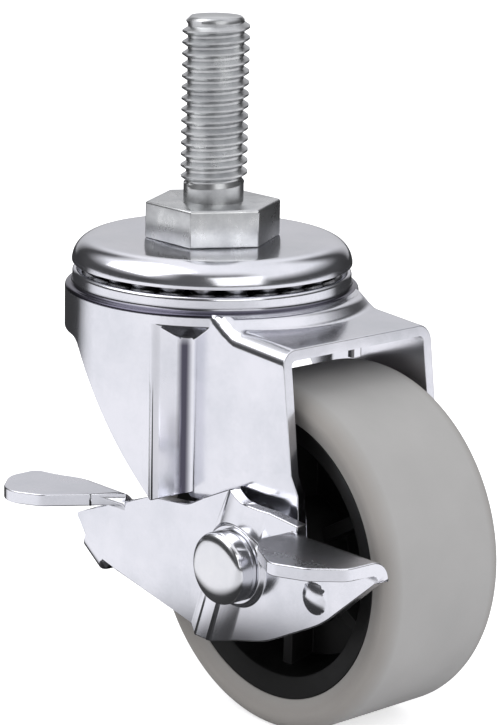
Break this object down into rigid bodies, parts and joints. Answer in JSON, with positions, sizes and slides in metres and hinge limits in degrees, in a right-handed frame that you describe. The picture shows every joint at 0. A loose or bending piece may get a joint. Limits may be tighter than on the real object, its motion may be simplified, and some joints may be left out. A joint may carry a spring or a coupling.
{
  "type": "swivel castor",
  "caption": "Small swivel castor with a threaded stem and hexagon collar, double ball race, pressed steel fork, rubber-tyred wheel and a side brake lever with two foot pedals.",
  "frame": {"origin": "on the swivel axis, at the centre of the hexagon collar's top face, which seats against the furniture; the threaded stem stands up from it", "axes": "+Z along the stem, away from the wheel; +X towards the trailing side, where the wheel's axle is; -Y towards the brake lever's side"},
  "size_m": [0.0734, 0.0492, 0.0959],
  "materials": {
    "bright_plate": "bright zinc or chrome plating on pressed steel sheet",
    "stem_zinc": "greyer satin zinc plating on turned or forged steel",
    "ball_steel": "polished bearing steel",
    "tyre_grey": "matt grey thermoplastic rubber",
    "hub_black": "black moulded polypropylene, slightly satin",
    "insert_nylon": "natural nylon"
  },
  "bodies": {
    "mounting": {"threaded_stem": "stem_zinc", "top_race": "bright_plate", "lower_race": "bright_plate"},
    "fork_assembly": {"fork": "bright_plate", "axle_bolt": "bright_plate", "lever_washer": "stem_zinc", "nut_washer": "stem_zinc", "lock_nut": "stem_zinc", "nut_insert": "insert_nylon"},
    "upper_ball_ring": {"upper_ball_01": "ball_steel", "upper_ball_02": "ball_steel", "upper_ball_03": "ball_steel", "upper_ball_04": "ball_steel", "upper_ball_05": "ball_steel", "upper_ball_06": "ball_steel", "upper_ball_07": "ball_steel", "upper_ball_08": "ball_steel", "upper_ball_09": "ball_steel", "upper_ball_10": "ball_steel", "upper_ball_11": "ball_steel", "upper_ball_12": "ball_steel", "upper_ball_13": "ball_steel", "upper_ball_14": "ball_steel", "upper_ball_15": "ball_steel", "upper_ball_16": "ball_steel", "upper_ball_17": "ball_steel", "upper_ball_18": "ball_steel", "upper_ball_19": "ball_steel", "upper_ball_20": "ball_steel", "upper_ball_21": "ball_steel", "upper_ball_22": "ball_steel", "upper_ball_23": "ball_steel", "upper_ball_24": "ball_steel"},
    "lower_ball_ring": {"lower_ball_01": "ball_steel", "lower_ball_02": "ball_steel", "lower_ball_03": "ball_steel", "lower_ball_04": "ball_steel", "lower_ball_05": "ball_steel", "lower_ball_06": "ball_steel", "lower_ball_07": "ball_steel", "lower_ball_08": "ball_steel", "lower_ball_09": "ball_steel", "lower_ball_10": "ball_steel", "lower_ball_11": "ball_steel", "lower_ball_12": "ball_steel"},
    "wheel": {"tyre": "tyre_grey", "hub": "hub_black", "hub_bush": "stem_zinc"},
    "brake": {"brake_lever": "bright_plate"}
  },
  "joints": [
    {"name": "swivel", "type": "hinge", "parent": "mounting", "child": "fork_assembly", "pos_m": [0, 0, 0], "axis": [0, 0, 1], "continuous": true},
    {"name": "upper_ball_roll", "type": "hinge", "parent": "mounting", "child": "upper_ball_ring", "pos_m": [0, 0, 0], "axis": [0, 0, 1], "continuous": true},
    {"name": "lower_ball_roll", "type": "hinge", "parent": "mounting", "child": "lower_ball_ring", "pos_m": [0, 0, 0], "axis": [0, 0, 1], "continuous": true},
    {"name": "wheel_spin", "type": "hinge", "parent": "fork_assembly", "child": "wheel", "pos_m": [0.0244, 0, -0.04495], "axis": [0, 1, 0], "continuous": true},
    {"name": "brake_pivot", "type": "hinge", "parent": "fork_assembly", "child": "brake", "pos_m": [0.0244, 0, -0.04495], "axis": [0, -1, 0], "range_deg": [0, 24]}
  ],
  "couplings": [
    {"joint": "upper_ball_roll", "follows": "swivel", "ratio": 0.5},
    {"joint": "lower_ball_roll", "follows": "swivel", "ratio": 0.5}
  ]
}
